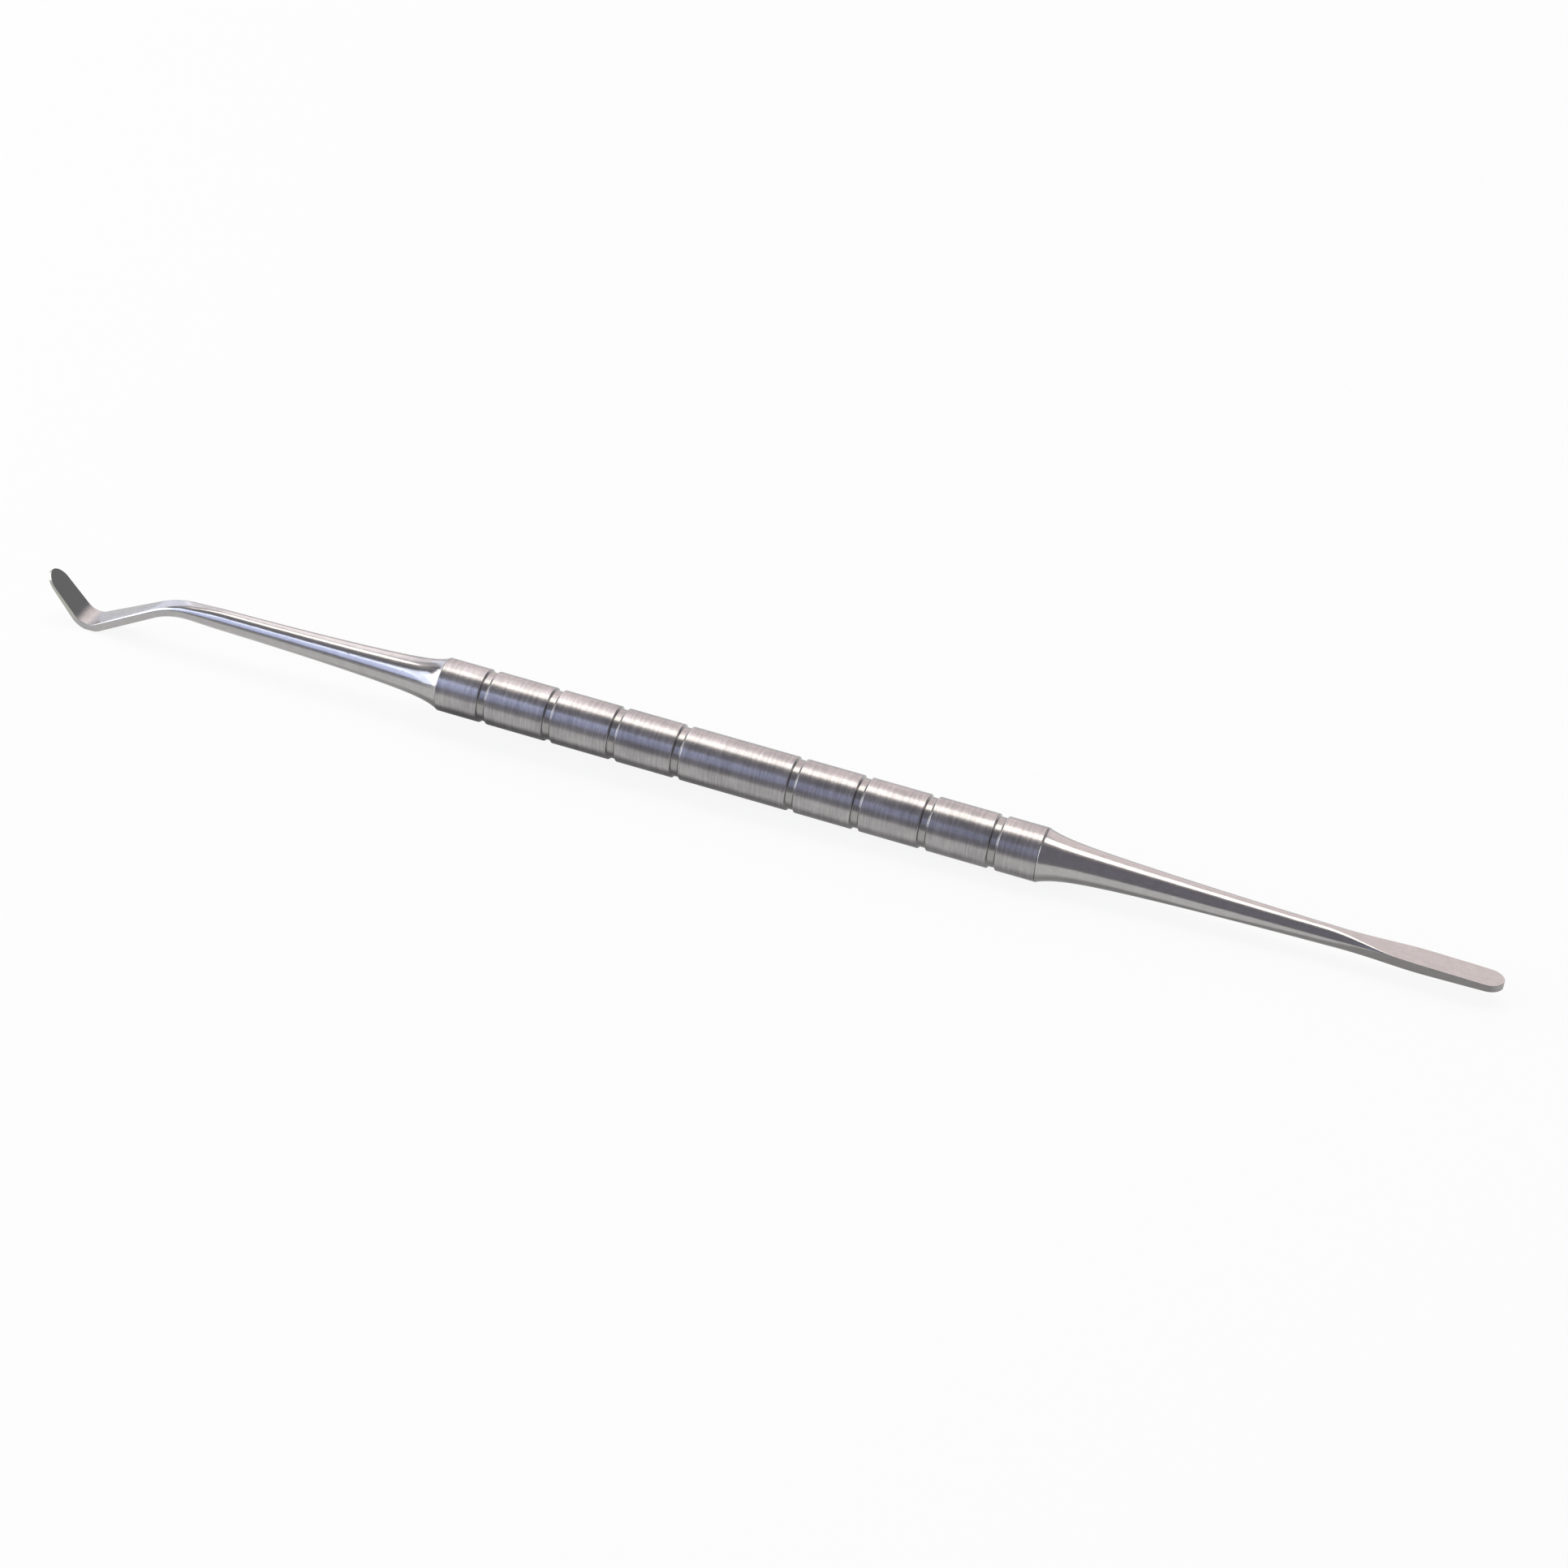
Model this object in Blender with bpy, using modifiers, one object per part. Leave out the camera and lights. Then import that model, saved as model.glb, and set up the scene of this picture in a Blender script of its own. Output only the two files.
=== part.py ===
"""Double-ended dental elevator: a turned steel handle with a working end pressed into each socket.

One end is straight and ends in a flat blade with a round nose. The other is bent down at a knee and back
up at a heel, and ends in a short thin blade. The instrument is modelled as it lies on a table: it stands
on the heel and on the far corner of the handle. Metres, +Z up, +X along the handle towards the straight
blade. The origin is on the table, midway between the two tips.
"""

import bmesh
import bpy
import numpy as np

# Handle
HANDLE_LENGTH = 0.0689
HANDLE_RADIUS = 0.0030
HANDLE_CORNER = 0.00003
MIDDLE_BAND = 0.01319
GROOVE_SHIFT = 0.0002
FIRST_PITCH = 0.00742
PITCH_GROWTH = 0.00016
GROOVES_PER_SIDE = 4
GROOVE_WIDTH = 0.00112
GROOVE_WALL = 0.00024
GROOVE_DEPTH = 0.00025
SOCKET_RADIUS = 0.00125
SOCKET_DEPTH = 0.0105

# Fit of a working end in its socket
TANG_RADIUS = 0.00120
TANG_LENGTH = 0.0100
TANG_CHAMFER = 0.0003
SEAT_GAP = 0.00003
RISE_RUN = 0.0040

# Straight working end: the shank's radius falls from the handle's in a short and a long curve
STRAIGHT_CHAMFER = 0.00008
STRAIGHT_LENGTH = 0.04985
STRAIGHT_SHANK_RADIUS = 0.00070
STRAIGHT_TAPER = 0.0232
STRAIGHT_SHOULDER = 0.00068
STRAIGHT_SHOULDER_RUN = 0.0021
STRAIGHT_FLAT_START = 0.0307
STRAIGHT_FLAT_END = 0.0392
STRAIGHT_SPREAD_START = 0.0325
STRAIGHT_SPREAD_END = 0.0417
STRAIGHT_BLADE_HALF_WIDTH = 0.00148
STRAIGHT_BLADE_ROOT = 0.00056
STRAIGHT_BLADE_NOSE = 0.00042
STRAIGHT_RISE = 0.00022
STRAIGHT_NOSE_RUN = 0.00170
STRAIGHT_CORNER = 0.00003
STRAIGHT_NOSE_CORNER = 0.00010

# Angled working end: the same kind of shank, and a flat strip bent at the knee and at the heel
ANGLED_CHAMFER = 0.00002
ANGLED_SHANK_RADIUS = 0.00095
ANGLED_TAPER = 0.0161
ANGLED_SHOULDER = 0.00066
ANGLED_SHOULDER_RUN = 0.0016
KNEE_START = 0.0307
KNEE_LEAD = 0.0010
KNEE_ANGLE = np.radians(28.3)
KNEE_RADIUS = 0.00955
OFFSET_LENGTH = 0.00762
HEEL_RADIUS = 0.00234
HOOK_ANGLE = np.radians(50.2)
HOOK_LENGTH = 0.00561
KNEE_HALF_WIDTH = 0.00113
KNEE_HALF_THICKNESS = 0.00055
OFFSET_HALF_THICKNESS = 0.00048
HEEL_HALF_WIDTH = 0.00159
HEEL_HALF_THICKNESS = 0.00032
HOOK_NOSE_HALF_WIDTH = 0.00140
HOOK_NOSE_HALF_THICKNESS = 0.00018
HOOK_NOSE_RUN = 0.0018
ANGLED_RISE = 0.00008
KNEE_CORNER = 0.00034
HEEL_CORNER = 0.00012
HOOK_CORNER = 0.00006

KNEE_END = KNEE_START + KNEE_RADIUS * KNEE_ANGLE
HEEL_START = KNEE_END + OFFSET_LENGTH
HEEL_END = HEEL_START + HEEL_RADIUS * (KNEE_ANGLE + HOOK_ANGLE)
HOOK_END = HEEL_END + HOOK_LENGTH

# Meshes
HANDLE_SIDES = 36
QUARTER_POINTS = 5
SHOULDER_START = 0.0003
SHOULDER_REACH = 0.0060
SHOULDER_BUNCHING = 1.6
SHANK_START = 0.0085
NOSE_BLUNTNESS = 0.985
MERGE_DISTANCE = 0.00001
SHARP_ANGLE = np.radians(30)

GROUND_STEEL = (0.62, 0.60, 0.58, 1.0)
GROUND_ROUGHNESS = 0.24
TURNED_STEEL = (0.52, 0.51, 0.51, 1.0)
TURNED_ROUGHNESS = 0.34


def clear_scene():
    """Remove whatever the file starts with, so that only this instrument is built."""
    for item in list(bpy.data.objects):
        bpy.data.objects.remove(item, do_unlink=True)


def steel(name, colour, roughness):
    """A bare stainless steel finish."""
    material = bpy.data.materials.new(name)
    material.use_nodes = True
    shader = material.node_tree.nodes["Principled BSDF"]
    shader.inputs["Base Color"].default_value = colour
    shader.inputs["Metallic"].default_value = 1.0
    shader.inputs["Roughness"].default_value = roughness
    return material


def add_node(mesh, name, material, collection, parent):
    """Put a finished mesh in the collection as one named piece of the instrument."""
    piece = bpy.data.objects.new(name, mesh)
    mesh.materials.append(material)
    collection.objects.link(piece)
    piece.parent = parent
    return piece


def groove_middles():
    """Distances of one side's grooves from the handle's middle; each band is a bit longer than the last."""
    steps = FIRST_PITCH + PITCH_GROWTH * np.arange(GROOVES_PER_SIDE - 1)
    return MIDDLE_BAND / 2 + np.concatenate([[0.0], np.cumsum(steps)])


def handle_profile():
    """Half section of the handle as (radius, height): top socket, grooved side, bottom socket.

    Each groove has a flat floor between two walls, and a point half way down each wall.
    """
    half = HANDLE_LENGTH / 2
    floor = half - SOCKET_DEPTH
    corner = HANDLE_CORNER
    top = [(0.0, floor), (SOCKET_RADIUS, floor), (SOCKET_RADIUS, half)]
    top += [(HANDLE_RADIUS - corner, half), (HANDLE_RADIUS, half - corner)]
    shares = np.array([0.0, 0.5, 1.0])
    wall = GROOVE_WIDTH / 2 - GROOVE_WALL * shares
    across = np.concatenate([wall, -wall[::-1]])
    radii = HANDLE_RADIUS - GROOVE_DEPTH * np.concatenate([shares, shares[::-1]])
    middles = groove_middles()
    side = []
    for middle in np.concatenate([middles[::-1], -middles]) + GROOVE_SHIFT:
        side += list(zip(radii, middle + across))
    bottom = [(radius, -height) for radius, height in reversed(top)]
    return top + side + bottom


def make_handle(material, collection, parent):
    """Turn the handle from its half section, then lay its axis along X."""
    points = [(radius, 0.0, height) for radius, height in handle_profile()]
    edges = [(i, i + 1) for i in range(len(points) - 1)]
    mesh = bpy.data.meshes.new("handle")
    mesh.from_pydata(points, edges, [])
    handle = add_node(mesh, "handle", material, collection, parent)
    handle.rotation_euler.y = np.pi / 2
    screw = handle.modifiers.new("turn", "SCREW")
    screw.axis = "Z"
    screw.angle = 2 * np.pi
    screw.steps = HANDLE_SIDES
    screw.render_steps = HANDLE_SIDES
    screw.use_merge_vertices = True
    screw.merge_threshold = MERGE_DISTANCE
    screw.use_smooth_shade = True
    return handle


def section(half_width, half_thickness, corner):
    """Points of a rounded rectangle as (across, up); it is a circle when all three sizes are equal."""
    corner = min(corner, half_width, half_thickness)
    turns = (np.arange(4 * QUARTER_POINTS) + 0.5) * np.pi / (2 * QUARTER_POINTS)
    across = np.cos(turns)
    up = np.sin(turns)
    return np.stack(
        [
            np.sign(across) * (half_width - corner) + corner * across,
            np.sign(up) * (half_thickness - corner) + corner * up,
        ],
        axis=1,
    )


def loft(name, rings):
    """Skin a row of equal-sized rings of points and close both ends with a face."""
    shape = bmesh.new()
    loops = [[shape.verts.new(point) for point in ring] for ring in rings]
    count = len(loops[0])
    for near, far in zip(loops, loops[1:]):
        for i in range(count):
            j = (i + 1) % count
            shape.faces.new((near[i], near[j], far[j], far[i]))
    shape.faces.new(loops[0])
    shape.faces.new(loops[-1])
    bmesh.ops.recalc_face_normals(shape, faces=shape.faces)
    mesh = bpy.data.meshes.new(name)
    shape.to_mesh(mesh)
    shape.free()
    mesh.shade_smooth()
    mesh.set_sharp_from_angle(angle=SHARP_ANGLE)
    return mesh


def ease(value, start, end):
    """0 before start, 1 after end, and a smooth rise between."""
    t = np.clip((value - start) / (end - start), 0.0, 1.0)
    return t * t * (3 - 2 * t)


def flare(along, shank, taper, shoulder, shoulder_run):
    """Radius of a shank at a distance from the handle: a short shoulder and a long taper."""
    long_fall = HANDLE_RADIUS - shank - shoulder
    return shank + long_fall * np.exp(-along / taper) + shoulder * np.exp(-along / shoulder_run)


def rise(along, height):
    """How far a middle line has climbed from the handle's axis; it levels out at a small height."""
    return height * (1.0 - np.exp(-max(along, 0.0) / RISE_RUN))


def tang_sections(chamfer):
    """(distance from the handle, half width, half thickness, corner) of the tang and the seat."""
    tip = TANG_RADIUS - TANG_CHAMFER
    rows = [(-TANG_LENGTH, tip), (-TANG_LENGTH + TANG_CHAMFER, TANG_RADIUS), (SEAT_GAP, TANG_RADIUS)]
    rows += [(SEAT_GAP, HANDLE_RADIUS - chamfer), (SEAT_GAP + chamfer, HANDLE_RADIUS)]
    return [(along, radius, radius, radius) for along, radius in rows]


def nose(along, end, run):
    """1 along the blade, falling to almost 0 at its end as the quarter of an ellipse does."""
    t = np.clip((along - (end - run)) / run, 0.0, 1.0)
    return np.sqrt(1.0 - NOSE_BLUNTNESS * t * t)


def shoulder_stations():
    """Distances along a shoulder, closer together towards the handle."""
    return SHOULDER_START + SHOULDER_REACH * np.linspace(0.0, 1.0, 9) ** SHOULDER_BUNCHING


def nose_stations(end, run):
    """Distances along a blade's round nose, closer together towards its end."""
    return end - run + run * np.sin(np.linspace(0.0, np.pi / 2, 8))


def straight_sections():
    """Sections of the straight end: a round shank that flattens into a blade with a round nose."""
    end = STRAIGHT_LENGTH
    shank = np.linspace(SHANK_START, STRAIGHT_FLAT_START, 8)
    blade = np.linspace(STRAIGHT_FLAT_START, end - STRAIGHT_NOSE_RUN, 15)[1:-1]
    corner_places = (end - 2 * STRAIGHT_NOSE_RUN, end)
    runs = [shoulder_stations(), shank, blade, nose_stations(end, STRAIGHT_NOSE_RUN)]
    rows = tang_sections(STRAIGHT_CHAMFER)
    for along in np.concatenate(runs):
        radius = flare(
            along, STRAIGHT_SHANK_RADIUS, STRAIGHT_TAPER, STRAIGHT_SHOULDER, STRAIGHT_SHOULDER_RUN
        )
        flat = ease(along, STRAIGHT_FLAT_START, STRAIGHT_FLAT_END)
        spread = ease(along, STRAIGHT_SPREAD_START, STRAIGHT_SPREAD_END)
        thinning = ease(along, STRAIGHT_FLAT_END, end)
        blade_half = STRAIGHT_BLADE_ROOT + (STRAIGHT_BLADE_NOSE - STRAIGHT_BLADE_ROOT) * thinning
        half_width = radius + (STRAIGHT_BLADE_HALF_WIDTH - radius) * spread
        half_width *= nose(along, end, STRAIGHT_NOSE_RUN)
        half_thickness = radius + (blade_half - radius) * flat
        edge = np.interp(along, corner_places, (STRAIGHT_CORNER, STRAIGHT_NOSE_CORNER))
        corner = radius + (edge - radius) * flat
        rows.append((along, half_width, half_thickness, corner))
    return rows


def make_straight_end(material, collection, parent):
    """Straight working end, its rings standing across +X; its blade is slightly above the axis."""
    rings = []
    for along, half_width, half_thickness, corner in straight_sections():
        x = HANDLE_LENGTH / 2 + along
        z = rise(along, STRAIGHT_RISE)
        rings.append([(x, across, z + up) for across, up in section(half_width, half_thickness, corner)])
    return add_node(loft("straight_end", rings), "straight_end", material, collection, parent)


def angled_path(along):
    """(x, z, slope) of the angled end's middle line at a distance from the handle; it runs towards -X.

    The line is straight to the knee, turns down through the knee's arc, runs straight to the heel, turns
    back up through the heel's arc and ends in the straight hook. The slope is the angle below the axis.
    """
    in_knee = np.clip(along - KNEE_START, 0.0, KNEE_END - KNEE_START) / KNEE_RADIUS
    in_offset = np.clip(along - KNEE_END, 0.0, OFFSET_LENGTH)
    in_heel = np.clip(along - HEEL_START, 0.0, HEEL_END - HEEL_START) / HEEL_RADIUS
    in_hook = max(along - HEEL_END, 0.0)
    heel_slope = KNEE_ANGLE - in_heel
    x = -HANDLE_LENGTH / 2 - min(along, KNEE_START)
    x -= KNEE_RADIUS * np.sin(in_knee) + in_offset * np.cos(KNEE_ANGLE)
    x -= HEEL_RADIUS * (np.sin(KNEE_ANGLE) - np.sin(heel_slope)) + in_hook * np.cos(HOOK_ANGLE)
    z = -KNEE_RADIUS * (1 - np.cos(in_knee)) - in_offset * np.sin(KNEE_ANGLE)
    z += in_hook * np.sin(HOOK_ANGLE) - HEEL_RADIUS * (np.cos(heel_slope) - np.cos(KNEE_ANGLE))
    return x, z, in_knee - in_heel


def angled_sections():
    """Sections of the angled end: a round shank that flattens past the knee into a thin hooked blade."""
    shank = np.linspace(SHANK_START, KNEE_START, 8)
    knee = np.linspace(KNEE_START, KNEE_END, 7)[1:]
    offset = np.linspace(KNEE_END, HEEL_START, 7)[1:]
    heel = np.linspace(HEEL_START, HEEL_END, 10)[1:]
    hook = np.linspace(HEEL_END, HOOK_END - HOOK_NOSE_RUN, 5)[1:-1]
    runs = [shoulder_stations(), shank, knee, offset, heel, hook, nose_stations(HOOK_END, HOOK_NOSE_RUN)]
    places = (KNEE_END, HEEL_START, HEEL_END, HOOK_END)
    widths = (KNEE_HALF_WIDTH, HEEL_HALF_WIDTH, HEEL_HALF_WIDTH, HOOK_NOSE_HALF_WIDTH)
    thicknesses = (
        KNEE_HALF_THICKNESS,
        OFFSET_HALF_THICKNESS,
        HEEL_HALF_THICKNESS,
        HOOK_NOSE_HALF_THICKNESS,
    )
    corners = (KNEE_CORNER, HEEL_CORNER, HOOK_CORNER, HOOK_CORNER)
    rows = tang_sections(ANGLED_CHAMFER)
    for along in np.concatenate(runs):
        radius = flare(along, ANGLED_SHANK_RADIUS, ANGLED_TAPER, ANGLED_SHOULDER, ANGLED_SHOULDER_RUN)
        flat = ease(along, KNEE_START - KNEE_LEAD, KNEE_END)
        flat_half_width = np.interp(along, places, widths)
        flat_half_thickness = np.interp(along, places, thicknesses)
        half_width = radius + (flat_half_width - radius) * flat
        half_width *= nose(along, HOOK_END, HOOK_NOSE_RUN)
        half_thickness = radius + (flat_half_thickness - radius) * flat
        corner = radius + (np.interp(along, places, corners) - radius) * flat
        rows.append((along, half_width, half_thickness, corner))
    return rows


def make_angled_end(material, collection, parent):
    """Angled working end, its rings standing across the bent middle line."""
    rings = []
    for along, half_width, half_thickness, corner in angled_sections():
        x, z, slope = angled_path(along)
        z += rise(along, ANGLED_RISE)
        rings.append(
            [
                (x - up * np.sin(slope), across, z + up * np.cos(slope))
                for across, up in section(half_width, half_thickness, corner)
            ]
        )
    return add_node(loft("angled_end", rings), "angled_end", material, collection, parent)


def resting_place():
    """(tilt, x, z) of the handle's middle when the heel and the far lower corner are on the table."""
    x, z, slope = angled_path(HEEL_START)
    heel_x = x - HEEL_RADIUS * np.sin(slope)
    heel_z = z + HEEL_RADIUS * np.cos(slope) + rise(HEEL_START, ANGLED_RISE)
    heel_reach = HEEL_RADIUS + HEEL_HALF_THICKNESS
    span = HANDLE_LENGTH / 2 - heel_x
    height = HANDLE_RADIUS + heel_z
    tilt = np.arcsin(heel_reach / np.hypot(span, height)) - np.arctan2(height, span)
    lift = HANDLE_RADIUS * np.cos(tilt) + HANDLE_LENGTH / 2 * np.sin(tilt)
    hook_tip = angled_path(HOOK_END)[0]
    straight_tip = HANDLE_LENGTH / 2 + STRAIGHT_LENGTH
    return tilt, -(hook_tip + straight_tip) / 2, lift


def main():
    clear_scene()
    collection = bpy.data.collections.new("dental_elevator")
    bpy.context.scene.collection.children.link(collection)
    tilt, x, z = resting_place()
    rest = bpy.data.objects.new("rest", None)
    rest.rotation_euler.y = tilt
    rest.location = (x, 0.0, z)
    collection.objects.link(rest)
    turned = steel("turned_steel", TURNED_STEEL, TURNED_ROUGHNESS)
    ground = steel("ground_steel", GROUND_STEEL, GROUND_ROUGHNESS)
    make_handle(turned, collection, rest)
    make_straight_end(ground, collection, rest)
    make_angled_end(ground, collection, rest)


main()
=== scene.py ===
import bpy
import numpy as np
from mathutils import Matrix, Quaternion, Vector


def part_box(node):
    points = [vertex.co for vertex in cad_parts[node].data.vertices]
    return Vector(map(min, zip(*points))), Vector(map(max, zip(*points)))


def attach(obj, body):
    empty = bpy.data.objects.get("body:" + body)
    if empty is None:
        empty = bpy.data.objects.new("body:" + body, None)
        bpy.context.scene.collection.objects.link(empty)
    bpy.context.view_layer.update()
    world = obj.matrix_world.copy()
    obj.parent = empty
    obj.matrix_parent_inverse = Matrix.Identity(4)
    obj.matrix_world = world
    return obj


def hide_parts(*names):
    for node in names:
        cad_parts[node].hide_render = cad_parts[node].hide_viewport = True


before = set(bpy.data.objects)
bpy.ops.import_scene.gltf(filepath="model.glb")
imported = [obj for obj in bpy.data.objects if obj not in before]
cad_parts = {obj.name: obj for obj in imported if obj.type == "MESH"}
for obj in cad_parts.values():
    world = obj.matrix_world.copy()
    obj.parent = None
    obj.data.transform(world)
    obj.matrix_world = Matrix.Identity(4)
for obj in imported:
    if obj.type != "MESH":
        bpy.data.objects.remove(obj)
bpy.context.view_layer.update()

# --------------------------------------------------------------------------------------------------------
# Handle: a round bar of stainless steel, turned on a lathe, with eight shallow finger grooves and a socket
# bored in each end. The tool leaves fine rings on it, only lightly polished, so it is duller than the ends.
# --------------------------------------------------------------------------------------------------------
HANDLE_LENGTH = 0.0689
HANDLE_RADIUS = 0.0030
HANDLE_CORNER = 0.00003
SOCKET_RADIUS = 0.00125
SOCKET_DEPTH = 0.0105
MIDDLE_BAND = 0.01319
GROOVE_SHIFT = 0.0002
FIRST_PITCH = 0.00742
PITCH_GROWTH = 0.00016
GROOVES_PER_SIDE = 4
GROOVE_WIDTH = 0.00112
GROOVE_WALL = 0.00024
GROOVE_DEPTH = 0.00025
HANDLE_SIDES = 160
POINTS_PER_GROOVE = 41
POINTS_ALONG_BANDS = 100
CORNER_POINTS = 5
EDGE_MARGIN = 0.00002
SHARP_ANGLE = np.radians(35)
MILLIMETRES = 1000.0

# Laid down at a tilt t, a bar of length L and radius R has a box L cos t + 2 R sin t long and
# L sin t + 2 R cos t high. Solving for cos t and sin t, each times (L L - 4 R R), gives the tilt.
low, high = (np.array(corner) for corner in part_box("handle"))
handle_middle = (low + high) / 2
box_length, _, box_height = high - low
box_cos = HANDLE_LENGTH * box_length - 2 * HANDLE_RADIUS * box_height
box_sin = HANDLE_LENGTH * box_height - 2 * HANDLE_RADIUS * box_length
tilt = np.arctan2(box_sin, box_cos)


def laid_down(points):
    """From the handle's own axes to the table: turned about Y by the tilt, then moved to its middle."""
    x, y, z = np.moveaxis(points, -1, 0)
    turned_x = x * np.cos(tilt) + z * np.sin(tilt)
    turned_z = z * np.cos(tilt) - x * np.sin(tilt)
    return np.stack([turned_x, y, turned_z], axis=-1) + handle_middle


def groove_middles():
    """Grooves counted out from the middle band, each band a little longer than the last, and mirrored."""
    steps = FIRST_PITCH + PITCH_GROWTH * np.arange(GROOVES_PER_SIDE - 1)
    side = MIDDLE_BAND / 2 + np.concatenate([[0.0], np.cumsum(steps)])
    return np.sort(np.concatenate([-side, side])) + GROOVE_SHIFT


def groove_share(along):
    """How deep a groove is at each place, from 0 to 1: a flat floor between two eased walls."""
    nearest = np.abs(along[:, None] - groove_middles()[None, :]).min(axis=1)
    climbed = np.clip((GROOVE_WIDTH / 2 - nearest) / GROOVE_WALL, 0.0, 1.0)
    return 0.5 - 0.5 * np.cos(np.pi * climbed)


def handle_outline():
    """Half section as (along, radius): left socket, rounded corner, grooved side, and their mirror."""
    half = HANDLE_LENGTH / 2
    turn = np.linspace(np.pi / 2, 0.0, CORNER_POINTS)
    corner_along = -half + HANDLE_CORNER * (1 - np.sin(turn))
    corner_radius = HANDLE_RADIUS - HANDLE_CORNER * (1 - np.cos(turn))
    corner = np.stack([corner_along, corner_radius], axis=1)
    rim = GROOVE_WIDTH / 2 + EDGE_MARGIN
    across = np.concatenate([[-rim], np.linspace(-0.5, 0.5, POINTS_PER_GROOVE) * GROOVE_WIDTH, [rim]])
    reach = half - HANDLE_CORNER - EDGE_MARGIN
    bands = np.linspace(-reach, reach, POINTS_ALONG_BANDS)
    along = np.unique(np.concatenate([bands, (groove_middles()[:, None] + across).ravel()]))
    side = np.stack([along, HANDLE_RADIUS - GROOVE_DEPTH * groove_share(along)], axis=1)
    socket = np.array([(-half + SOCKET_DEPTH, SOCKET_RADIUS), (-half, SOCKET_RADIUS)])
    mirrored = [part[::-1] * (-1, 1) for part in (corner, socket)]
    return np.concatenate([socket, corner, side, *mirrored])


def skinned(name, rings, drawn_out, **shares):
    """A closed mesh over rows of points: quads between neighbouring rows, and a fan on each end row.

    drawn_out is where each point lay on the straight piece; shares are one number for each row.
    """
    rows, count = rings.shape[:2]
    near = np.arange(rows * count).reshape(rows, count)
    far = np.roll(near, -1, axis=1)
    first, last = rows * count, rows * count + 1
    quads = np.stack([near[:-1], far[:-1], far[1:], near[1:]], axis=-1).reshape(-1, 4)
    fans = [
        np.stack([far[0], near[0], np.full(count, first)], axis=-1),
        np.stack([near[-1], far[-1], np.full(count, last)], axis=-1),
    ]

    def with_centres(values):
        flat = values.reshape(rows * count, -1)
        return np.concatenate([flat, flat[:count].mean(0)[None], flat[-count:].mean(0)[None]])

    mesh = bpy.data.meshes.new(name)
    mesh.from_pydata(with_centres(rings).tolist(), [], quads.tolist() + np.concatenate(fans).tolist())
    place = mesh.attributes.new("drawn_out", "FLOAT_VECTOR", "POINT")
    place.data.foreach_set("vector", with_centres(drawn_out * MILLIMETRES).ravel().astype(np.float32))
    for title, share in shares.items():
        each = with_centres(np.repeat(share, count))
        attribute = mesh.attributes.new(title, "FLOAT", "POINT")
        attribute.data.foreach_set("value", each.ravel().astype(np.float32))
    mesh.shade_smooth()
    mesh.set_sharp_from_angle(angle=SHARP_ANGLE)
    piece = bpy.data.objects.new(name, mesh)
    bpy.context.scene.collection.objects.link(piece)
    return piece


def turned_bar():
    """The half section carried round the axis: (along, radius cos turn, radius sin turn)."""
    outline = handle_outline()
    turn = np.linspace(0.0, 2 * np.pi, HANDLE_SIDES, endpoint=False)
    along = np.repeat(outline[:, :1], HANDLE_SIDES, axis=1)
    rings = np.stack([along, outline[:, 1:] * np.cos(turn), outline[:, 1:] * np.sin(turn)], axis=-1)
    return skinned("handle_turned", laid_down(rings), rings, recess=groove_share(outline[:, 0]))


class Wire:
    """A shader socket whose arithmetic adds Math nodes; node() adds any other node to the same tree."""

    def __init__(self, tree, socket=None):
        self.tree = tree
        self.socket = socket

    def node(self, kind, settings, sockets, output=0):
        """Add a node: its settings, then a value or a link for each socket; gives one of its outputs."""
        made = self.tree.nodes.new(kind)
        for title, value in settings.items():
            setattr(made, title, value)
        for title, value in sockets.items():
            if isinstance(value, Wire):
                self.tree.links.new(value.socket, made.inputs[title])
            else:
                made.inputs[title].default_value = value
        return Wire(self.tree, made.outputs[output] if made.outputs else None)

    def math(self, operation, *values):
        return self.node("ShaderNodeMath", {"operation": operation}, dict(enumerate(values)))

    def __add__(self, other):
        return self.math("ADD", self, other)

    __radd__ = __add__

    def __mul__(self, other):
        return self.math("MULTIPLY", self, other)

    __rmul__ = __mul__

    def between(self, low, high):
        """0 below low, 1 above high, and a smooth rise between."""
        return self.node(
            "ShaderNodeMapRange",
            {"interpolation_type": "SMOOTHSTEP"},
            {"Value": self, "From Min": low, "From Max": high},
        )

    def stretched(self, factors):
        """The place with each of its three numbers multiplied."""
        return self.node("ShaderNodeVectorMath", {"operation": "MULTIPLY"}, {0: self, 1: factors})

    def noise(self, scale, detail, roughness):
        return self.node(
            "ShaderNodeTexNoise",
            {},
            {"Vector": self, "Scale": scale, "Detail": detail, "Roughness": roughness},
        )


def new_tree(name):
    """A new material with an empty tree."""
    material = bpy.data.materials.new(name)
    material.use_nodes = True
    material.node_tree.nodes.clear()
    return material, Wire(material.node_tree)


def mixed(tree, factor, first, second):
    """A Mix node on colours. Its sockets share names with its other kinds, so they go by number."""
    return tree.node("ShaderNodeMix", {"data_type": "RGBA"}, {0: factor, 6: first, 7: second}, 2)


def finished(tree, colour, roughness, height, distance):
    """Bare metal on the material's output; distance is how many metres a height of 1 stands up."""
    normal = tree.node("ShaderNodeBump", {}, {"Height": height, "Distance": distance, "Strength": 1.0})
    shader = tree.node(
        "ShaderNodeBsdfPrincipled",
        {},
        {"Base Color": colour, "Roughness": roughness, "Metallic": 1.0, "Normal": normal},
    )
    tree.node("ShaderNodeOutputMaterial", {}, {"Surface": shader})


TURNED_LIGHT = (0.405, 0.39, 0.388, 1.0)
TURNED_DARK = (0.275, 0.265, 0.267, 1.0)
# Colour of the painted shade in the grooves, and also of the worn nicks.
GROOVE_SHADE_AND_NICK_COLOUR = (0.285, 0.28, 0.27, 1.0)
TURNED_RELIEF = 0.000004


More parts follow.
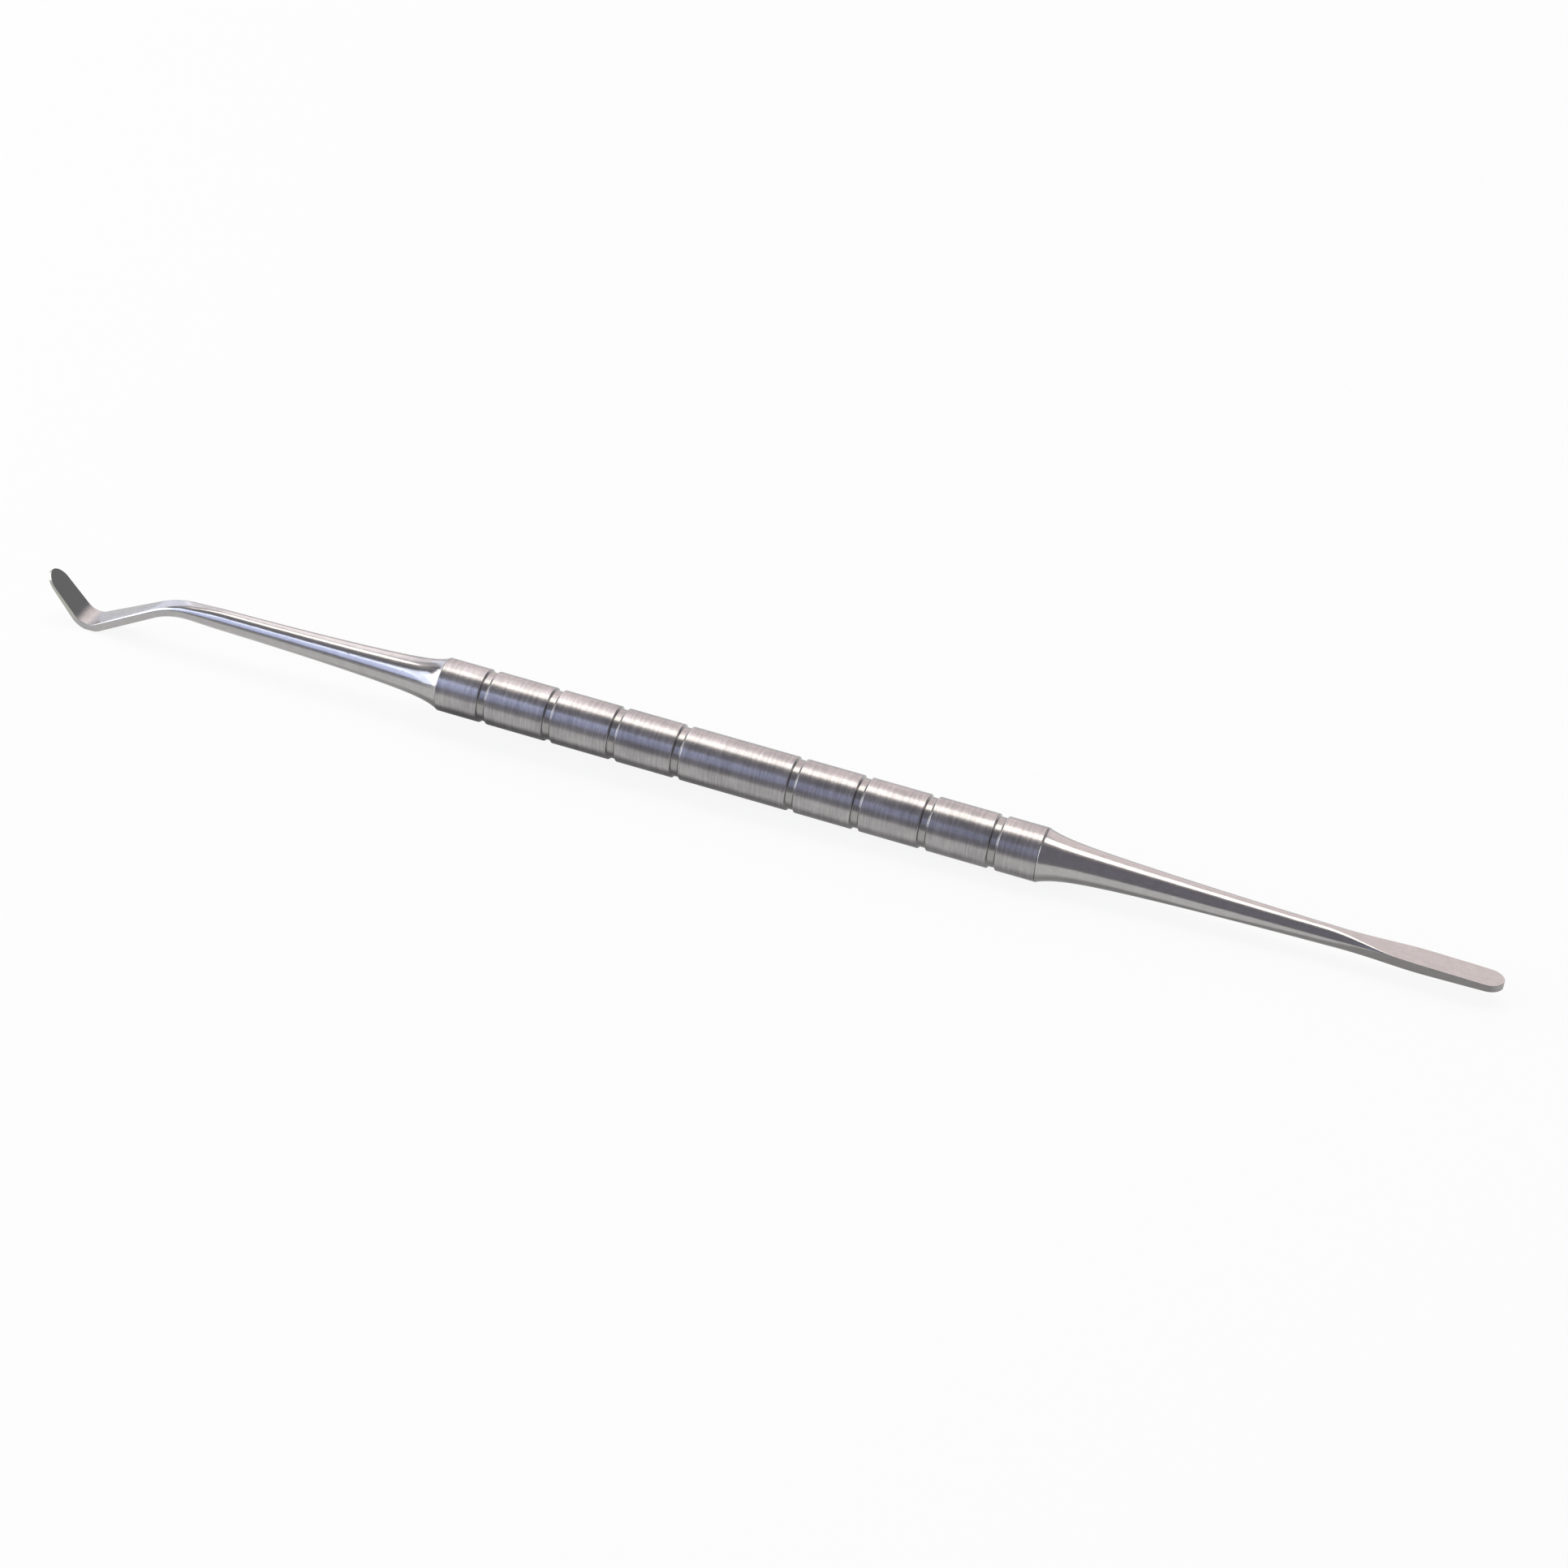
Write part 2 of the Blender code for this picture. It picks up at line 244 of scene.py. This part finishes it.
def turned_steel():
    """Turned steel: rings of noise squeezed along the bar, in the colour, the roughness and the height.

    tone = 0.35 hair + 0.4 rings + 0.4 cloud
    roughness = 0.16 + 0.08 rings + 0.04 hair + 0.05 cloud - 0.06 recess
    The grooves are painted darker by their depth, as painted shade. A few nicks run across the rings.
    """
    material, tree = new_tree("turned_steel")
    place = tree.node("ShaderNodeAttribute", {"attribute_name": "drawn_out"}, {}, 1)
    recess = tree.node("ShaderNodeAttribute", {"attribute_name": "recess"}, {}, 2)
    hair = place.stretched((1.0, 0.03, 0.03)).noise(16.0, 3.0, 0.6)
    rings = place.stretched((1.0, 0.10, 0.10)).noise(3.2, 3.0, 0.6)
    cloud = place.stretched((0.5, 1.0, 1.0)).noise(0.55, 3.0, 0.5)
    nicks = place.stretched((0.35, 1.0, 1.0)).noise(5.0, 2.0, 0.5).between(0.66, 0.72)
    tone = hair * 0.35 + rings * 0.4 + cloud * 0.4
    colour = mixed(tree, tone.between(0.42, 0.74), TURNED_DARK, TURNED_LIGHT)
    # Painted shade: each groove is darkened towards this colour by its depth.
    colour = mixed(tree, recess.between(0.5, 1.0) * 0.6, colour, GROOVE_SHADE_AND_NICK_COLOUR)
    colour = mixed(tree, nicks * 0.35, colour, GROOVE_SHADE_AND_NICK_COLOUR)
    roughness = 0.16 + 0.08 * rings + 0.04 * hair + 0.05 * cloud + -0.06 * recess
    finished(tree, colour, roughness, hair + rings * 1.6 + nicks * -0.6, TURNED_RELIEF)
    return material


handle = turned_bar()
handle.data.materials.append(turned_steel())
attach(handle, "root")
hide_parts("handle")

# --------------------------------------------------------------------------------------------------------
# Straight working end: one forging of hardened stainless steel, ground and polished, its tang pressed into
# the handle's socket. The round shank thins quickly past the shoulder and is ground flat into a blade.
# --------------------------------------------------------------------------------------------------------
TANG_RADIUS = 0.00120
TANG_LENGTH = 0.0100
TANG_CHAMFER = 0.0003
SEAT_GAP = 0.00001
RISE_RUN = 0.0040
STRAIGHT_LENGTH = 0.04985
STRAIGHT_SHANK_RADIUS = 0.00070
STRAIGHT_TAPER = 0.0232
STRAIGHT_SHOULDER = 0.00068
STRAIGHT_SHOULDER_RUN = 0.0021
STRAIGHT_FLAT_START = 0.0307
STRAIGHT_FLAT_END = 0.0392
STRAIGHT_SPREAD_START = 0.0325
STRAIGHT_SPREAD_END = 0.0417
STRAIGHT_BLADE_HALF_WIDTH = 0.00148
STRAIGHT_BLADE_ROOT = 0.00056
STRAIGHT_BLADE_NOSE = 0.00042
STRAIGHT_RISE = 0.00022
STRAIGHT_NOSE_RUN = 0.00170
STRAIGHT_RIM = 0.00010
STRAIGHT_CORNER = 0.00003
STRAIGHT_NOSE_CORNER = 0.00010
NOSE_BLUNTNESS = 0.985
QUARTER_POINTS = 24
SHOULDER_START = 0.00016
SHOULDER_REACH = 0.0060
SHOULDER_BUNCHING = 1.6
SHOULDER_STATIONS = 40
MIDDLE_START = 0.0065
STATION_STEP = 0.00025
NOSE_STATIONS = 28


def eased(along, start, end):
    """0 before start, 1 after end, and a smooth rise between."""
    share = np.clip((along - start) / (end - start), 0.0, 1.0)
    return share * share * (3 - 2 * share)


def flared(along, shank, taper, shoulder, shoulder_run):
    """Radius of a shank: what is left of the handle's radius falls in a long curve and a short one."""
    long_fall = HANDLE_RADIUS - shank - shoulder
    return shank + long_fall * np.exp(-along / taper) + shoulder * np.exp(-along / shoulder_run)


def climb(along, height):
    """How far the middle line has risen from the handle's axis: it levels out at a small height."""
    return height * (1.0 - np.exp(-np.maximum(along, 0.0) / RISE_RUN))


def narrowed(along, end, run):
    """1 along the blade, and over its last run the quarter of an ellipse."""
    share = np.clip((along - (end - run)) / run, 0.0, 1.0)
    return np.sqrt(1.0 - NOSE_BLUNTNESS * share * share)


def stations(end, nose_run):
    """Distances from the handle: close together on the shoulder and round the nose, even between."""
    bunched = np.linspace(0.0, 1.0, SHOULDER_STATIONS)[1:] ** SHOULDER_BUNCHING
    shoulder = SEAT_GAP + SHOULDER_START + SHOULDER_REACH * bunched
    middle = np.arange(MIDDLE_START, end - nose_run, STATION_STEP)
    nose = end - nose_run + nose_run * np.sin(np.linspace(0.0, np.pi / 2, NOSE_STATIONS))
    return np.concatenate([shoulder, middle, nose])


def sections(half_width, half_thickness, corner):
    """Rounded rectangles, one a row: quarter circles about points set in by the corner's size."""
    turn = (np.arange(4 * QUARTER_POINTS) + 0.5) * np.pi / (2 * QUARTER_POINTS)
    corner = np.minimum(corner, np.minimum(half_width, half_thickness))[:, None]
    across = np.sign(np.cos(turn)) * (half_width[:, None] - corner) + corner * np.cos(turn)
    up = np.sign(np.sin(turn)) * (half_thickness[:, None] - corner) + corner * np.sin(turn)
    return across, up


def with_tang(rim, along, half_width, half_thickness, corner):
    """The rows of a working end, with those of its tang and of its shoulder's rounded rim in front."""
    turn = np.linspace(0.0, np.pi / 2, CORNER_POINTS)
    rim_along = SEAT_GAP + rim * (1 - np.cos(turn))
    rim_radius = HANDLE_RADIUS - rim * (1 - np.sin(turn))
    tang = np.array(
        [
            (-TANG_LENGTH, TANG_RADIUS - TANG_CHAMFER),
            (-TANG_LENGTH + TANG_CHAMFER, TANG_RADIUS),
            (SEAT_GAP, TANG_RADIUS),
        ]
    )
    front_along = np.concatenate([tang[:, 0], rim_along])
    front_radius = np.concatenate([tang[:, 1], rim_radius])
    fronts = (front_along, front_radius, front_radius, front_radius)
    rows = (along, half_width, half_thickness, corner)
    return [np.concatenate(pair) for pair in zip(fronts, rows)]


def straight_working_end():
    """Sections across the handle's axis: circles that turn into the blade's rounded rectangles."""
    end = STRAIGHT_LENGTH
    along = stations(end, STRAIGHT_NOSE_RUN)
    radius = flared(along, STRAIGHT_SHANK_RADIUS, STRAIGHT_TAPER, STRAIGHT_SHOULDER, STRAIGHT_SHOULDER_RUN)
    flat = eased(along, STRAIGHT_FLAT_START, STRAIGHT_FLAT_END)
    spread = eased(along, STRAIGHT_SPREAD_START, STRAIGHT_SPREAD_END)
    thinning = eased(along, STRAIGHT_FLAT_END, end)
    blade = STRAIGHT_BLADE_ROOT + (STRAIGHT_BLADE_NOSE - STRAIGHT_BLADE_ROOT) * thinning
    half_width = radius + (STRAIGHT_BLADE_HALF_WIDTH - radius) * spread
    half_width = half_width * narrowed(along, end, STRAIGHT_NOSE_RUN)
    half_thickness = radius + (blade - radius) * flat
    edge = np.interp(along, (end - 2 * STRAIGHT_NOSE_RUN, end), (STRAIGHT_CORNER, STRAIGHT_NOSE_CORNER))
    corner = radius + (edge - radius) * flat
    rows = with_tang(STRAIGHT_RIM, along, half_width, half_thickness, corner)
    along, (across, up) = rows[0], sections(*rows[1:])
    x = np.repeat(along[:, None], across.shape[1], axis=1)
    rings = np.stack([HANDLE_LENGTH / 2 + x, across, climb(along, STRAIGHT_RISE)[:, None] + up], axis=-1)
    return skinned("straight_working_end", laid_down(rings), np.stack([x, across, up], axis=-1))


POLISHED_LIGHT = (0.43, 0.42, 0.415, 1.0)
POLISHED_DARK = (0.375, 0.365, 0.36, 1.0)
PIT_COLOUR = (0.30, 0.285, 0.275, 1.0)
TIP_TINT_COLOUR = (0.42, 0.435, 0.37, 1.0)
TINT_WANDER = 0.8
TINT_FADE = 1.2
POLISHED_RELIEF = 0.000002


def polished_steel(name, tinted_from):
    """Ground and polished steel: faint lines along the piece, a slight unevenness and cloudy patches.

    tone = 0.35 lines + 0.45 cloud + 0.2 grain
    roughness = 0.10 + 0.05 lines + 0.06 cloud + 0.10 pits + 0.28 bend
    Small pits are left here and there. A sharp bend, which the wheel hardly reaches, is duller. Past the
    place given, in millimetres from the handle, the steel takes a faint olive tint, which fades in over the
    next millimetre. An end whose whole length is given there has next to none.
    """
    material, tree = new_tree(name)
    place = tree.node("ShaderNodeAttribute", {"attribute_name": "drawn_out"}, {}, 1)
    bend = tree.node("ShaderNodeAttribute", {"attribute_name": "bend"}, {}, 2)
    lines = place.stretched((0.06, 1.0, 1.0)).noise(14.0, 3.0, 0.6)
    wave = place.stretched((0.5, 1.0, 1.0)).noise(0.9, 1.0, 0.4)
    cloud = place.noise(0.8, 4.0, 0.6)
    grain = place.noise(7.0, 3.0, 0.6)
    pits = place.noise(4.0, 1.0, 0.4).between(0.70, 0.76)
    tone = lines * 0.35 + cloud * 0.45 + grain * 0.2
    colour = mixed(tree, tone.between(0.38, 0.66), POLISHED_DARK, POLISHED_LIGHT)
    along = place.node("ShaderNodeSeparateXYZ", {}, {"Vector": place})
    # A faint olive tint over the far end of the piece.
    tinted = (along + cloud * TINT_WANDER).between(tinted_from, tinted_from + TINT_FADE)
    colour = mixed(tree, tinted * 0.8, colour, TIP_TINT_COLOUR)
    colour = mixed(tree, pits * 0.6, colour, PIT_COLOUR)
    roughness = 0.10 + 0.05 * lines + 0.06 * cloud + 0.10 * pits + 0.28 * bend
    finished(tree, colour, roughness, lines + wave * 6.0 + pits * -1.5, POLISHED_RELIEF)
    return material


straight_end = straight_working_end()
straight_end.data.materials.append(polished_steel("straight_end_steel", STRAIGHT_LENGTH * MILLIMETRES))
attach(straight_end, "root")
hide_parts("straight_end")

# --------------------------------------------------------------------------------------------------------
# Angled working end: the same kind of forging, pressed into the other socket. Its shank is bent down at the
# knee and flattened, then bent sharply back up at the heel into a short thin blade.
# --------------------------------------------------------------------------------------------------------
ANGLED_SHANK_RADIUS = 0.00095
ANGLED_TAPER = 0.0161
ANGLED_SHOULDER = 0.00066
ANGLED_SHOULDER_RUN = 0.0016
KNEE_START = 0.0307
KNEE_LEAD = 0.0040
KNEE_ANGLE = np.radians(28.3)
KNEE_RADIUS = 0.00955
OFFSET_LENGTH = 0.00762
HEEL_RADIUS = 0.00234
HOOK_ANGLE = np.radians(50.2)
HOOK_LENGTH = 0.00561
KNEE_HALF_WIDTH = 0.00113
KNEE_HALF_THICKNESS = 0.00055
OFFSET_HALF_THICKNESS = 0.00048
HEEL_HALF_WIDTH = 0.00159
HEEL_HALF_THICKNESS = 0.00032
HOOK_NOSE_HALF_WIDTH = 0.00140
HOOK_NOSE_HALF_THICKNESS = 0.00018
HOOK_NOSE_RUN = 0.0018
ANGLED_RISE = 0.00008
ANGLED_RIM = 0.00002
KNEE_CORNER = 0.00034
HEEL_CORNER = 0.00012
HOOK_CORNER = 0.00006
BEND_FADE = 0.0005

knee_end = KNEE_START + KNEE_RADIUS * KNEE_ANGLE
heel_start = knee_end + OFFSET_LENGTH
heel_end = heel_start + HEEL_RADIUS * (KNEE_ANGLE + HOOK_ANGLE)
hook_end = heel_end + HOOK_LENGTH


def bent_line(along):
    """(x, z, slope) of the middle line: straight runs and two arcs.

    The slope is 0 to the knee, grows evenly to the knee's angle, stays, and falls evenly to minus the
    hook's angle. Each run and each arc adds its own step in x and z to where the one before it ended.
    """
    in_knee = np.clip(along - KNEE_START, 0.0, knee_end - KNEE_START) / KNEE_RADIUS
    in_offset = np.clip(along - knee_end, 0.0, OFFSET_LENGTH)
    in_heel = np.clip(along - heel_start, 0.0, heel_end - heel_start) / HEEL_RADIUS
    in_hook = np.maximum(along - heel_end, 0.0)
    heel_slope = KNEE_ANGLE - in_heel
    x = -HANDLE_LENGTH / 2 - np.minimum(along, KNEE_START) - KNEE_RADIUS * np.sin(in_knee)
    x = x - in_offset * np.cos(KNEE_ANGLE) - HEEL_RADIUS * (np.sin(KNEE_ANGLE) - np.sin(heel_slope))
    x = x - in_hook * np.cos(HOOK_ANGLE)
    z = -KNEE_RADIUS * (1 - np.cos(in_knee)) - in_offset * np.sin(KNEE_ANGLE)
    z = z - HEEL_RADIUS * (np.cos(heel_slope) - np.cos(KNEE_ANGLE)) + in_hook * np.sin(HOOK_ANGLE)
    return x, z, in_knee - in_heel


def angled_working_end():
    """Sections standing across the bent line: circles that turn into rounded rectangles past the knee.

    bend is 1 round the heel, and fades to 0 over BEND_FADE to either side of its two ends.
    """
    along = stations(hook_end, HOOK_NOSE_RUN)
    radius = flared(along, ANGLED_SHANK_RADIUS, ANGLED_TAPER, ANGLED_SHOULDER, ANGLED_SHOULDER_RUN)
    flat = eased(along, KNEE_START - KNEE_LEAD, knee_end)
    bends = (knee_end, heel_start, heel_end, hook_end)
    widths = (KNEE_HALF_WIDTH, HEEL_HALF_WIDTH, HEEL_HALF_WIDTH, HOOK_NOSE_HALF_WIDTH)
    thicknesses = (
        KNEE_HALF_THICKNESS,
        OFFSET_HALF_THICKNESS,
        HEEL_HALF_THICKNESS,
        HOOK_NOSE_HALF_THICKNESS,
    )
    flat_width = np.interp(along, bends, widths)
    flat_thickness = np.interp(along, bends, thicknesses)
    half_width = (radius + (flat_width - radius) * flat) * narrowed(along, hook_end, HOOK_NOSE_RUN)
    half_thickness = radius + (flat_thickness - radius) * flat
    edge = np.interp(along, bends, (KNEE_CORNER, HEEL_CORNER, HOOK_CORNER, HOOK_CORNER))
    corner = radius + (edge - radius) * flat
    rows = with_tang(ANGLED_RIM, along, half_width, half_thickness, corner)
    along, (across, up) = rows[0], sections(*rows[1:])
    x, z, slope = (value[:, None] for value in bent_line(along))
    z = z + climb(along, ANGLED_RISE)[:, None]
    rings = np.stack([x - up * np.sin(slope), across, z + up * np.cos(slope)], axis=-1)
    drawn_out = np.stack([np.broadcast_to(along[:, None], across.shape), across, up], axis=-1)
    bend = eased(along, heel_start - BEND_FADE, heel_start + BEND_FADE)
    bend = bend * (1.0 - eased(along, heel_end - BEND_FADE, heel_end + BEND_FADE))
    return skinned("angled_working_end", laid_down(rings)[:, ::-1], drawn_out[:, ::-1], bend=bend)


angled_end = angled_working_end()
angled_end.data.materials.append(polished_steel("angled_end_steel", heel_end * MILLIMETRES))
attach(angled_end, "root")
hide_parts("angled_end")

# --------------------------------------------------------------------------------------------------------
# Floor: a light table of pale acrylic, lit from inside and matt on top, so that what lies on it has only a
# faint soft shadow.
# --------------------------------------------------------------------------------------------------------
FLOOR_SIZE = 12.0
FLOOR_GLOW = 0.893
FLOOR_REFLECTANCE = (0.075, 0.075, 0.075, 1.0)


def laid_out(name, points, faces, material):
    """A flat piece of the surroundings from its points and faces."""
    mesh = bpy.data.meshes.new(name)
    mesh.from_pydata(points, [], faces)
    mesh.materials.append(material)
    piece = bpy.data.objects.new(name, mesh)
    bpy.context.scene.collection.objects.link(piece)
    return piece


acrylic, tree = new_tree("pale_acrylic")
glow = tree.node("ShaderNodeEmission", {}, {"Color": (1.0, 1.0, 1.0, 1.0), "Strength": FLOOR_GLOW})
matt = tree.node("ShaderNodeBsdfDiffuse", {}, {"Color": FLOOR_REFLECTANCE})
lit = tree.node("ShaderNodeAddShader", {}, {0: glow, 1: matt})
tree.node("ShaderNodeOutputMaterial", {}, {"Surface": lit})
side = FLOOR_SIZE / 2
floor_points = [(-side, -side, 0), (side, -side, 0), (side, side, 0), (-side, side, 0)]
laid_out("floor", floor_points, [(0, 1, 2, 3)], acrylic)

# --------------------------------------------------------------------------------------------------------
# Cards: dark card that only the reflections see, as painted reflections. One strip lies under the
# instrument and is painted shade: the contact shadow seen in the dark lower edge of the polished steel
# close to a table. The other is the painted reflection of a dark bench in front of the light table.
# --------------------------------------------------------------------------------------------------------
CARD_GLOW = 0.19
CARD_HEIGHT = 0.00003
EDGE_SOFTNESS = 0.25
BENCH_EDGE = 0.031
BENCH_SOFTNESS = 0.4
BENCH_START = -0.14
BENCH_FULL = -0.07
BENCH_REACH = 1.5
# Darkness of the painted reflection of the bench.
BENCH_REFLECTION_DARKNESS = 0.84
# The strip's rows: place along X, half width, and darkness of the painted shade from 0 to 1.
STRIP_ROWS = np.array(
    [
        (-0.0600, 0.0022, 0.00),
        (-0.0410, 0.0033, 0.50),
        (-0.0350, 0.0043, 1.00),
        (0.0000, 0.0038, 0.83),
        (0.0330, 0.0036, 0.61),
        (0.0405, 0.0033, 0.70),
        (0.0535, 0.0019, 0.70),
        (0.0640, 0.0040, 0.60),
        (0.0700, 0.0090, 0.60),
        (0.0840, 0.0090, 0.60),
        (0.0880, 0.0060, 0.00),
    ]
)
STRIP_STEP = 0.001

# Painted reflection: a dark glow that only the steel sees, fading to clear where the darkness falls.
card_material, tree = new_tree("painted_reflection_card")
share = tree.node("ShaderNodeAttribute", {"attribute_name": "darkness"}, {}, 2)
clear = tree.node("ShaderNodeBsdfTransparent", {}, {})
dark = tree.node("ShaderNodeEmission", {}, {"Strength": CARD_GLOW})
faded = tree.node("ShaderNodeMixShader", {}, {0: share, 1: clear, 2: dark})
tree.node("ShaderNodeOutputMaterial", {}, {"Surface": faded})


# Painted shade and painted reflections: dark card that only glossy rays see.
def painted_reflection_card(name, x, y, darkness):
    """A grid of card over rows of x and y; where the darkness is under 1 it lets the floor through."""
    rows, count = y.shape
    points = np.stack([np.broadcast_to(x, y.shape), y, np.full_like(y, CARD_HEIGHT)], axis=-1)
    order = np.arange(rows * count).reshape(rows, count)
    faces = np.stack([order[:-1, :-1], order[1:, :-1], order[1:, 1:], order[:-1, 1:]], axis=-1)
    card = laid_out(name, points.reshape(-1, 3).tolist(), faces.reshape(-1, 4).tolist(), card_material)
    attribute = card.data.attributes.new("darkness", "FLOAT", "POINT")
    attribute.data.foreach_set("value", darkness.ravel().astype(np.float32))
    card.visible_camera = False
    card.visible_diffuse = False
    card.visible_shadow = False


row_x, row_edge, row_dark = STRIP_ROWS.T
strip_x = np.arange(row_x[0], row_x[-1], STRIP_STEP)
strip_edge = np.interp(strip_x, row_x, row_edge)[:, None]
strip_dark = np.interp(strip_x, row_x, row_dark)[:, None]
spread = np.array([-1 - EDGE_SOFTNESS, -1 + EDGE_SOFTNESS, 1 - EDGE_SOFTNESS, 1 + EDGE_SOFTNESS])
# Painted shade: the contact shadow under the instrument, seen only in the steel's reflections.
painted_reflection_card("contact_shade_strip", strip_x[:, None], strip_edge * spread, strip_dark * (0.0, 1.0, 1.0, 0.0))
# Painted reflection: a dark bench in front of the light table, seen only in the steel.
bench_x = np.array([BENCH_START, BENCH_FULL, BENCH_REACH])[:, None]
bench_y = -np.array([BENCH_EDGE * (1 - BENCH_SOFTNESS), BENCH_EDGE * (1 + BENCH_SOFTNESS), BENCH_REACH])
faded_in = np.array([0.0, 1.0, 1.0])
bench_dark = BENCH_REFLECTION_DARKNESS * faded_in[:, None] * faded_in
painted_reflection_card("bench_reflection", bench_x, np.broadcast_to(bench_y, bench_dark.shape), bench_dark)

# --------------------------------------------------------------------------------------------------------
# Lights: a dim room, a long softbox overhead, tall windows to the left, and pale backdrops behind. Each
# has an azimuth, from -Y towards +X, an elevation, a width and a height, all in degrees.
# --------------------------------------------------------------------------------------------------------
ROOM = (0.292, 0.286, 0.328, 1.0)
NEAR = 0.70
FAR = 1.60


def softbox(name, azimuth, elevation, width, height, distance, colour, radiance, shape="RECTANGLE"):
    """An even light that faces the instrument: each side is 2 distance tan(angle / 2).

    Its power is its radiance times its area times pi.
    """
    azimuth, elevation, width, height = np.radians((azimuth, elevation, width, height))
    light = bpy.data.lights.new(name, "AREA")
    light.shape = shape
    light.size = 2 * distance * np.tan(width / 2)
    light.size_y = 2 * distance * np.tan(height / 2)
    light.color = colour
    light.energy = radiance * np.pi * light.size * light.size_y
    lamp = bpy.data.objects.new(name, light)
    flat = np.cos(elevation)
    towards = Vector((flat * np.sin(azimuth), -flat * np.cos(azimuth), np.sin(elevation)))
    lamp.location = towards * distance
    lamp.rotation_euler = towards.to_track_quat("Z", "Y").to_euler()
    lamp.visible_camera = False
    bpy.context.scene.collection.objects.link(lamp)


softbox("overhead", 180, 76, 64, 27, NEAR, (1.0, 0.96, 0.90), 2.5, "ELLIPSE")
softbox("ceiling", 180, 79, 86, 44, NEAR, (1.0, 0.93, 0.80), 0.20, "ELLIPSE")
softbox("window_right", -18, 33, 20, 28, NEAR, (0.48, 0.58, 1.0), 0.46)
softbox("window", -34.5, 29, 13, 38, NEAR, (0.58, 0.67, 1.0), 1.55)
softbox("window_left", -55.5, 27, 29, 43, NEAR, (0.77, 0.85, 1.0), 2.2)
softbox("window_far_left", -82, 20, 44, 36, NEAR, (1.0, 1.0, 1.0), 2.6)
softbox("backdrop", 184, 31.5, 42, 55, FAR, (1.0, 0.87, 0.84), 1.17)
softbox("backdrop_middle", 211, 31.5, 12, 55, FAR, (1.0, 0.95, 0.97), 1.10)
softbox("backdrop_high", 228, 45, 22, 28, FAR, (1.0, 0.94, 0.93), 0.5)
softbox("backdrop_left", 239.5, 15.5, 45, 29, FAR, (0.83, 0.87, 1.0), 1.38)

room = bpy.data.worlds.new("room")
bpy.context.scene.world = room
room.use_nodes = True
room.node_tree.nodes["Background"].inputs["Color"].default_value = ROOM

# --------------------------------------------------------------------------------------------------------
# Camera: a long lens to the right of the handle's middle. It looks down on the instrument and is rolled a
# little, so that the instrument lies slanting across the frame.
# --------------------------------------------------------------------------------------------------------
AIM_ALONG = 0.00457
AIM_HEIGHT = 0.00319
CAMERA_DISTANCE = 0.4189
CAMERA_AZIMUTH = np.radians(16.976)
CAMERA_ELEVATION = np.radians(34.668)
CAMERA_ROLL = np.radians(5.141)
SENSOR_WIDTH = 36.0
LENS = 89.44
CLIP_START = 0.01
CLIP_END = 20.0

bpy.context.scene.view_settings.view_transform = "Standard"
towards_camera = Vector(
    (
        np.sin(CAMERA_AZIMUTH) * np.cos(CAMERA_ELEVATION),
        -np.cos(CAMERA_AZIMUTH) * np.cos(CAMERA_ELEVATION),
        np.sin(CAMERA_ELEVATION),
    )
)
lens = bpy.data.cameras.new("camera")
lens.lens = LENS
lens.sensor_width = SENSOR_WIDTH
lens.clip_start = CLIP_START
lens.clip_end = CLIP_END
camera = bpy.data.objects.new("camera", lens)
camera.location = Vector((AIM_ALONG, 0.0, AIM_HEIGHT)) + towards_camera * CAMERA_DISTANCE
camera.rotation_mode = "QUATERNION"
camera.rotation_quaternion = towards_camera.to_track_quat("Z", "Y") @ Quaternion((0, 0, 1), CAMERA_ROLL)
bpy.context.scene.collection.objects.link(camera)
bpy.context.scene.camera = camera
